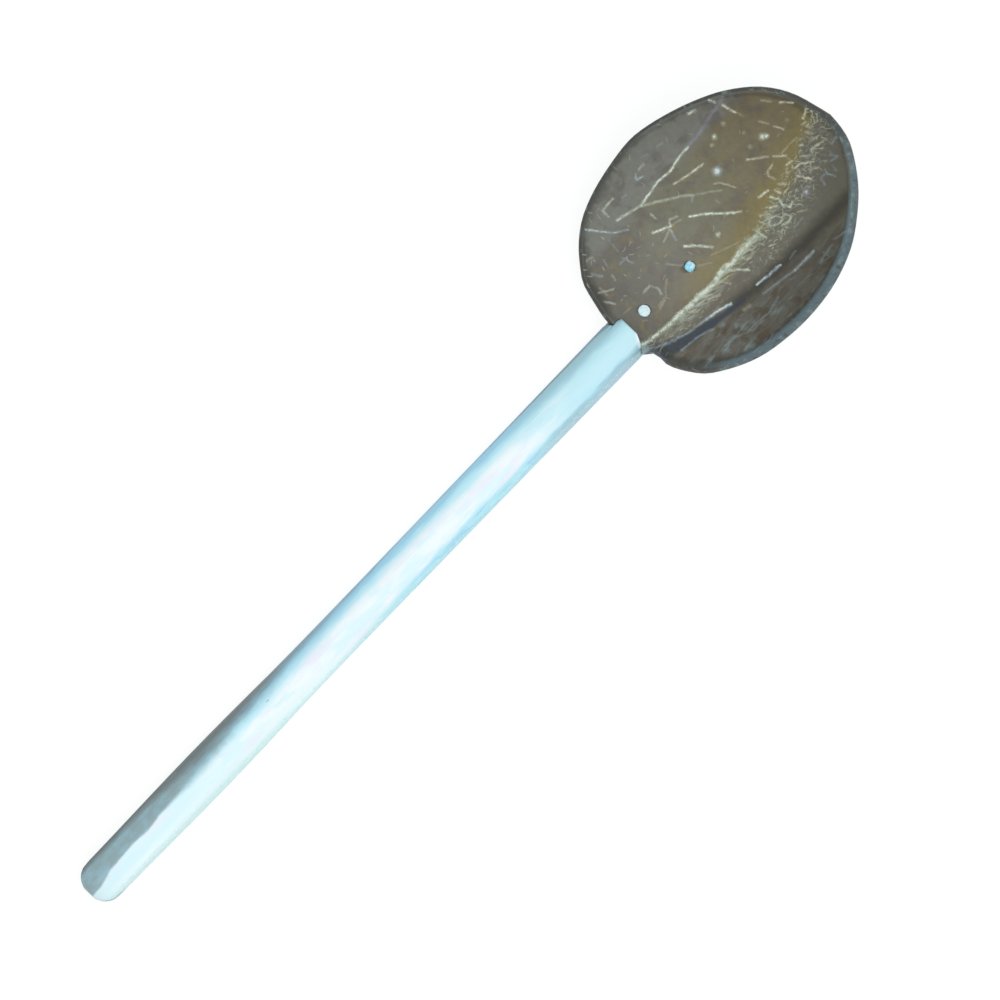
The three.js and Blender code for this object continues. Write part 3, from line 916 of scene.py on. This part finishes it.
@dataclass(frozen=True)
class StickWood:
    """The pale bare wood of the stick; lengths are in millimetres.

    The ridge of the butt's facet starts ridge_start left of the axis and shifts in soft steps,
    given as (from, to, shift) and measured from the butt.
    """

    length: float = 271.0
    half_width: float = 8.1
    pale: Triple = paint(244, 251, 253)
    tint: Triple = paint(222, 246, 253)
    rosy: Triple = paint(242, 239, 250)
    # Painted light: the right side near the butt, which faces the light.
    low: Triple = paint(238, 254, 254)
    bowl_end: Triple = paint(198, 236, 245)
    left_inner: Triple = paint(194, 242, 252)
    left_outer: Triple = paint(168, 218, 242)
    left_grey: Triple = paint(170, 208, 218)
    right: Triple = paint(182, 234, 246)
    right_pale: Triple = paint(214, 243, 245)
    right_blue: Triple = paint(162, 212, 240)
    right_grey: Triple = paint(168, 200, 214)
    # Painted shade of the butt's left facet, in two tones.
    facet: Triple = paint(152, 184, 194)
    facet_grey: Triple = paint(148, 168, 171)
    # Painted shade on the left edge and at the butt's end; also the colour of the one real nick.
    shade_and_nick_grey: Triple = paint(113, 123, 123)
    # Painted shade: the thin dark line on the left edge.
    left_edge_shade: Triple = paint(98, 118, 126)
    moss: Triple = paint(196, 238, 226)
    ridge_start: float = -1.4
    ridge_steps: tuple[Triple, ...] = (
        (2, 14, 2.0), (14, 22, 0.5), (24, 30, -0.4), (31, 38, 0.8), (56, 80, 1.8), (80, 112, 1.0)
    )
    # The lip's cut, along which a highlight is painted.
    lip_cut: tuple[Pair, ...] = ((3.3, -1.6), (0.7, -5.7))
    nick: Triple = (-179.0, 2.0, 0.0)

    def core(self, coat: Coat) -> None:
        """Paints the bare wood on top of the stick.

        Args:
            coat: The paint so far.
        """
        along = coat.along
        drawn_out = coat.point.stretched(0.25, 1.0, 1.0)
        clouds = drawn_out.noise(4.0, 3)
        blush = drawn_out.noise(5.5, 2, "Color").parts()[1]
        coat.lay(along.fade(-225, -190), self.pale)
        coat.lay(clouds.fade(0.45, 0.65, 0.8), self.tint)
        coat.lay(blush.fade(0.5, 0.65, 0.8) * along.fade(-40, -60), self.rosy)
        # Painted light: the right side near the butt made lighter, as it faces the light.
        coat.lay(coat.aside.fade(-3, -6, 0.8) * along.fade(-130, -160), self.low)
        coat.lay((along + (clouds - 0.5) * 40).fade(-66, -22, 0.95), self.bowl_end)

    def flanks(self, coat: Coat) -> None:
        """Paints the blue flanks, which are streaked lengthwise; their blue, darker on the left, is
        partly painted shade of the sides turned from the light.

        Args:
            coat: The paint so far.
        """
        along = coat.along
        streaks = coat.noise(1.1, 4, (0.06, 1.0, 1.0)) - 0.5
        wander = coat.noise(1.8, 3, (0.12, 0.4, 0.4)) - 0.5
        patches = coat.noise(2.2, 3, (0.3, 1.0, 1.0)) - 0.5
        out = coat.aside + streaks * 1.6 + wander * 3 + patches * 1.5
        # Painted shade: the left flank bluer and darker than the top.
        inner = (out + along.fade(-140, -190, 2.0)).fade(1.6, 5.4, 0.95)
        coat.lay(inner * along.fade(-236, -212), self.left_inner)
        coat.lay(out.fade(4.4, 6.6, 0.9) * along.fade(-215, -150), self.left_outer)
        coat.lay(out.fade(2.5, 6.0) * along.fade(-64, -24, 0.9), self.left_grey)
        reach = along.fade(-160, -90, 2.2)
        right = coat.nodes.mix(along.fade(-110, -160), self.right, self.right_pale)
        coat.lay((out + 7.4 - reach).fade(1.6, -0.6, 0.95), right)
        coat.lay(along.fade(-246, -268, 0.6), self.right_pale)
        blue = (streaks + patches).fade(0.0, 0.16, 0.8) * out.fade(-4, -6)
        coat.lay(blue * along.fade(-140, -90), self.right_blue)
        grey = (out - along * 0.01).fade(-4.0, -6.0, 0.95) * along.fade(-58, -36)
        coat.lay(grey, self.right_grey)

    def butt_facet(self, coat: Coat) -> None:
        """Darkens the left facet of the butt up to its ridge, in patches: painted shade of the
        facet turned from the light.

        Args:
            coat: The paint so far.
        """
        from_butt = coat.along + self.length
        patches = coat.noise(3.2, 3, (0.55, 1.0, 1.0)) - 0.5
        wavy = coat.noise(6.0, 3, (1.0, 0.0, 0.0)) - 0.5
        ridge = sum((from_butt.fade(*step) for step in self.ridge_steps), self.ridge_start)
        blur = from_butt.fade(34, 64, 2.2) + 0.6
        past = (coat.aside - ridge + wavy * 1.2 + patches * blur * 0.7) / blur
        mask = past.fade(-0.9, 0.8) * from_butt.fade(165, 90)
        # Painted shade of the facet, in patches; towards the bowl it turns into the left flank's
        # blue.
        share = patches.fade(-0.14, 0.16, 0.9)
        worn = coat.nodes.mix(share, self.facet, self.facet_grey)
        worn = coat.nodes.mix(from_butt.fade(50, 110, 0.7), worn, self.left_outer)
        coat.lay(mask, worn)

    def edge_shade_and_glint(self, coat: Coat) -> None:
        """Paints shade along the left edge, broad and grey near the butt and thin further on, shade
        at the lower corner of the butt's end, and a highlight along the lip's cut.

        Args:
            coat: The paint so far.
        """
        from_butt = coat.along + self.length
        # Painted shade along the left edge, broad near the butt.
        broad = from_butt.fade(175, 55) * (from_butt.fade(36, 62, 1.6) + 1.2) + 0.3
        stir = coat.noise(1.6, 3, (0.2, 1.0, 1.0)) - 0.5
        inward = (coat.aside - self.half_width) / broad + stir
        fading = from_butt.fade(195, 85, 0.6) + from_butt.fade(130, 85, 0.4)
        coat.lay(inward.fade(-1.8, -0.1) * fading, self.shade_and_nick_grey)
        # Painted shade: a thin dark line at the left edge.
        thin = inward.fade(-2.4, -0.4) * from_butt.fade(100, 170) * coat.up.fade(5.5, 7.5)
        near_bowl = from_butt.fade(195, 240, 0.3)
        coat.lay(thin * (stir + near_bowl + 0.3), self.left_edge_shade)
        # Painted shade at the lower corner of the butt's end.
        coat.lay(coat.up.fade(10.2, 7.6, 0.75) * from_butt.fade(12, 6), self.shade_and_nick_grey)
        # Painted highlight along the lip's cut.
        cut = coat.point.stretched(1.0, 1.0, 0.0).away_from(self.lip_cut)
        coat.lay(cut.fade(0.9, 0.3, 0.7), self.pale)

    def marks(self, coat: Coat) -> None:
        """Adds the grain, the specks and the one dark nick.

        Args:
            coat: The paint so far.
        """
        nodes, aside = coat.nodes, coat.aside
        threads = coat.noise(0.5, 3, (0.08, 1.0, 1.0))
        coat.lay(threads.fade(0.55, 0.8, 0.25), self.left_outer)
        fine = coat.noise(0.7, 3, (0.5, 1.0, 1.0))
        low_edge = aside.fade(-5.5, -7.2)
        coat.lay(fine.fade(0.5, 0.62, 0.6) * low_edge, self.moss)
        coat.lay(fine.fade(0.5, 0.36, 0.45) * low_edge, self.pale)
        specks = coat.noise(0.6, 1, (0.7, 1.0, 0.0)).fade(0.66, 0.74, 0.7)
        coat.lay(specks * aside.fade(-6.2, -7.0), self.left_grey)
        nick = nodes.vector("SUBTRACT", coat.point, self.nick).stretched(0.5, 1.6, 0.0)
        away = nodes.vector("LENGTH", nick, output="Value") + threads * 0.6
        coat.lay(away.fade(0.85, 0.3, 0.6), self.shade_and_nick_grey)

    def material(self, origin: Vector) -> bpy.types.Material:
        """Makes the material.

        Args:
            origin: The shoulder of the stick, in the frame.

        Returns:
            The material.
        """
        coat = Coat("stick_wood", origin, self.tint)
        for layer in (self.core, self.flanks, self.butt_facet, self.edge_shade_and_glint, self.marks):
            layer(coat)
        threads = coat.noise(0.5, 3, (0.05, 1.0, 1.0))
        dents = coat.noise(2.4, 3, (0.15, 1.0, 1.0))
        return coat.finish(0.5, threads + dents * 4, 0.05 * MM, specular=0.3)


@dataclass(frozen=True)
class PegWood:
    """The end grain of a wooden peg; lengths are in millimetres."""

    name: str
    face: Triple
    pore: Triple
    gleam: Triple = paint(232, 248, 250)

    def material(self, origin: Vector) -> bpy.types.Material:
        """Makes the material, with rings round its origin.

        Args:
            origin: The middle of the peg, in the frame.

        Returns:
            The material.
        """
        coat = Coat(self.name, origin, self.face, in_plan=True)
        away = coat.nodes.vector("LENGTH", coat.point, output="Value")
        rings = coat.nodes.math("SINE", (away + coat.noise(1.2, 2) * 1.5) * 7)
        blots = coat.noise(1.1, 3)
        coat.lay(rings.fade(0.0, 1.0, 0.2), self.pore)
        coat.lay((blots + coat.along * 0.06).fade(0.48, 0.64, 0.85), self.gleam)
        coat.lay(blots.fade(0.46, 0.34, 0.8), self.pore)
        return coat.finish(0.55, blots + rings * 0.3, 0.05 * MM, specular=0.35)


Finish = ShellInside | ShellRim | ShellOutside | StickWood | PegWood


# Pieces.


def deselect_all() -> None:
    """Deselects every object, so that an operator acts on nothing by chance."""
    for other in bpy.context.scene.objects:
        other.select_set(False)


def edit(operator: Callable[..., set[str]], **settings: object) -> None:
    """Runs an operator on the active piece in edit mode.

    Args:
        operator: The operator.
        settings: Its settings.
    """
    bpy.ops.object.mode_set(mode="EDIT")
    operator(**settings)
    bpy.ops.object.mode_set(mode="OBJECT")


def middle_of(node: str) -> Vector:
    """Finds the middle of a CAD node's box."""
    return sum(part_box(node), Vector()) / 2


@dataclass
class Part:
    """A piece of the ladle, which stands in the place of a CAD node."""

    node: str
    name: str
    slot: str
    origin: Vector
    finishes: tuple[Finish, ...]
    smooth_angle: float = math.radians(32)

    def build(self) -> bpy.types.Object:
        """Copies the CAD node, joins its loose triangles, shapes the copy and smooths it.

        Returns:
            The piece.
        """
        piece = bpy.data.objects.new(self.name, frame["nodes"][self.node].data.copy())
        bpy.context.scene.collection.objects.link(piece)
        piece.data.materials.clear()
        deselect_all()
        piece.select_set(True)
        bpy.context.view_layer.objects.active = piece
        edit(bpy.ops.mesh.select_all, action="SELECT")
        edit(bpy.ops.mesh.remove_doubles, threshold=SAME_CORNER)
        self.shape(piece.data)
        bpy.ops.object.shade_smooth_by_angle(angle=self.smooth_angle)
        return piece

    def shape(self, mesh: bpy.types.Mesh) -> None:
        """Leaves the copy as it is."""

    def dress(self, piece: bpy.types.Object) -> None:
        """Gives the piece its finishes, the first of them all over."""
        for finish in self.finishes:
            piece.data.materials.append(finish.material(self.origin))


@dataclass
class Bowl(Part):
    """The shell: inside, cut edge and outside.

    A face belongs to a side where it turns to or from a point above the bowl by more than
    wall_turn, the cosine of an angle; the faces between them are the cut edge.
    """

    smooth_angle: float = math.radians(40)
    above: Triple = (0.115, 0.0, 0.072)
    wall_turn: float = 0.5
    peg_surround: float = 4 * MM

    def shape(self, mesh: bpy.types.Mesh) -> None:
        """Makes the shell a grade finer."""
        edit(bpy.ops.mesh.subdivide, number_cuts=1)

    def dress(self, piece: bpy.types.Object) -> None:
        """Gives each side of the shell its finish.

        Args:
            piece: The shell.
        """
        super().dress(piece)
        for face in piece.data.polygons:
            inward = face.normal.dot((Vector(self.above) - face.center).normalized())
            face.material_index = 0 if inward > self.wall_turn else 1
            if inward < -self.wall_turn:
                face.material_index = 2
        self.measure_to_rim(piece.data)

    def measure_to_rim(self, mesh: bpy.types.Mesh) -> None:
        """Notes at each corner how many millimetres it is from the cut edge.

        Args:
            mesh: The shell's mesh, with its sides told apart.
        """
        pegs = [middle_of(node) for node in ("peg_near", "peg_far")]
        rim: set[int] = set()
        for face in mesh.polygons:
            from_peg = min((face.center - peg).xy.length for peg in pegs)
            if face.material_index == 1 and from_peg > self.peg_surround:
                rim.update(face.vertices)
        tree = KDTree(len(rim))
        for corner in rim:
            tree.insert(mesh.vertices[corner].co, corner)
        tree.balance()
        layer = mesh.attributes.new(TO_RIM, "FLOAT", "POINT")
        for corner, vertex in enumerate(mesh.vertices):
            layer.data[corner].value = tree.find(vertex.co)[2] / MM


@dataclass
class Stick(Part):
    """The stick with its lip and tongue."""


@dataclass
class Peg(Part):
    """A wooden peg, whittled to its hole and driven through the shell and the tongue."""

    smooth_angle: float = math.radians(50)
    seed: int = 0
    head: float = 1.2 * MM
    unevenness: float = 0.16 * MM

    def shape(self, mesh: bpy.types.Mesh) -> None:
        """Roughens the rounding of the peg's head.

        Args:
            mesh: The peg's mesh.
        """
        top = max(vertex.co.z for vertex in mesh.vertices)
        edit(bpy.ops.mesh.select_all, action="DESELECT")
        for vertex in mesh.vertices:
            vertex.select = vertex.co.z > top - self.head
        edit(bpy.ops.transform.vertex_random, offset=self.unevenness, seed=self.seed)


@dataclass
class Studio:
    """A plain pale floor, a soft sun, a pale sky and the camera, placed from the shoulder."""

    shoulder: Vector
    aim: Triple = (-0.07193, -0.00771, 0.0)
    camera_height: float = 12.0
    view_width: float = 0.3506
    sensor: float = 36.0
    roll: float = math.radians(-46.005)
    floor_side: float = 12.0
    floor_drop: float = 0.2 * MM
    paper: Triple = (0.94, 0.94, 0.94)
    glow: float = 1.08
    glow_share: float = 0.8
    white: Triple = (1.0, 1.0, 1.0)
    sky: Triple = (0.90, 0.97, 1.0)
    sky_strength: float = 0.6
    sun_strength: float = 1.34
    sun_spread: float = math.radians(50)
    sun_turn: Triple = (math.radians(12), 0.0, math.radians(8))

    def place_camera(self) -> None:
        """Hangs the camera straight over the ladle, with a long lens."""
        lens = bpy.data.cameras.new("camera")
        camera = bpy.data.objects.new("camera", lens)
        bpy.context.scene.collection.objects.link(camera)
        target = self.shoulder + Vector(self.aim)
        camera.location = (target.x, target.y, self.camera_height)
        camera.rotation_euler = (0.0, 0.0, self.roll)
        lens.sensor_width = self.sensor
        lens.lens = self.sensor * self.camera_height / self.view_width
        lens.clip_end = 2 * self.camera_height
        bpy.context.scene.camera = camera

    def light(self) -> None:
        """Lights the ladle with a wide soft sun and a pale sky."""
        lamp = bpy.data.lights.new("sun", "SUN")
        lamp.energy = self.sun_strength
        lamp.angle = self.sun_spread
        sun = bpy.data.objects.new("sun", lamp)
        sun.rotation_euler = self.sun_turn
        bpy.context.scene.collection.objects.link(sun)
        nodes = Nodes(bpy.data.worlds.new("sky"))
        bpy.context.scene.world = nodes.owner
        seen = self.seen_directly(nodes)
        colour = nodes.mix(seen, self.sky, self.white)
        strength = seen * (1.0 - self.sky_strength) + self.sky_strength
        sky = nodes.add("ShaderNodeBackground", sockets={"Color": colour, "Strength": strength})
        nodes.add_output(sky, "ShaderNodeOutputWorld")

    @staticmethod
    def seen_directly(nodes: Nodes) -> Value:
        """Tells what the camera sees directly, in a reflection or through glass.

        Args:
            nodes: The nodes of the floor or the sky.

        Returns:
            One where it does, and nothing elsewhere.
        """
        rays = nodes.add("ShaderNodeLightPath").socket.node.outputs
        kinds = ("Is Camera Ray", "Is Glossy Ray", "Is Transmission Ray")
        return reduce(Value.higher, (Value(nodes, rays[kind]) for kind in kinds))

    def lay_floor(self) -> None:
        """Lays a white floor, which keeps a faint shadow and lets the underside be seen."""
        deselect_all()
        place = (0.0, 0.0, -self.floor_drop)
        bpy.ops.mesh.primitive_plane_add(size=self.floor_side, location=place)
        floor = bpy.context.active_object
        floor.name = "floor"
        nodes = Nodes(bpy.data.materials.new("floor_white"))
        share = self.seen_directly(nodes) * self.glow_share
        paper = nodes.add("ShaderNodeBsdfDiffuse", sockets={"Color": self.paper})
        sockets = {"Color": self.white, "Strength": self.glow}
        glow = nodes.add("ShaderNodeEmission", sockets=sockets)
        top = nodes.add("ShaderNodeMixShader", sockets={0: share, 1: paper, 2: glow})
        clear = nodes.add("ShaderNodeBsdfTransparent")
        below = nodes.add("ShaderNodeNewGeometry", output="Backfacing")
        nodes.add_output(nodes.add("ShaderNodeMixShader", sockets={0: below, 1: top, 2: clear}))
        floor.data.materials.append(nodes.owner)

    def build(self) -> None:
        """Sets up the camera, the light and the floor."""
        self.place_camera()
        self.light()
        self.lay_floor()


def main() -> None:
    """Builds and dresses the ladle, piece by piece, and the studio round it."""
    logging.basicConfig(level=logging.INFO, format="%(message)s")
    wood = StickWood()
    stick_low, stick_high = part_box("handle")
    shoulder = Vector((CAD_LOW.x + wood.length * MM, (stick_low.y + stick_high.y) / 2, 0.0))
    shell = (ShellInside(), ShellRim(), ShellOutside())
    pale = PegWood("peg_near_wood", paint(220, 245, 248), paint(186, 218, 228))
    blue = PegWood("peg_far_wood", paint(158, 226, 248), paint(126, 204, 236))
    parts = (
        Bowl("shell_bowl", "bowl_shell", "shell", shoulder, shell),
        Stick("handle", "stick", "stick_wood", shoulder, (wood,)),
        Peg("peg_near", "near_peg", "peg_wood", middle_of("peg_near"), (pale,), seed=3),
        Peg("peg_far", "far_peg", "peg_wood", middle_of("peg_far"), (blue,), seed=8),
    )
    for part in parts:
        piece = part.build()
        part.dress(piece)
        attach(piece, "root")
        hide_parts(part.node)
        LOG.info("%s: %d faces", part.name, len(piece.data.polygons))
    Studio(shoulder).build()
    bpy.context.scene.view_settings.view_transform = "Standard"


if __name__ == "__main__":
    main()
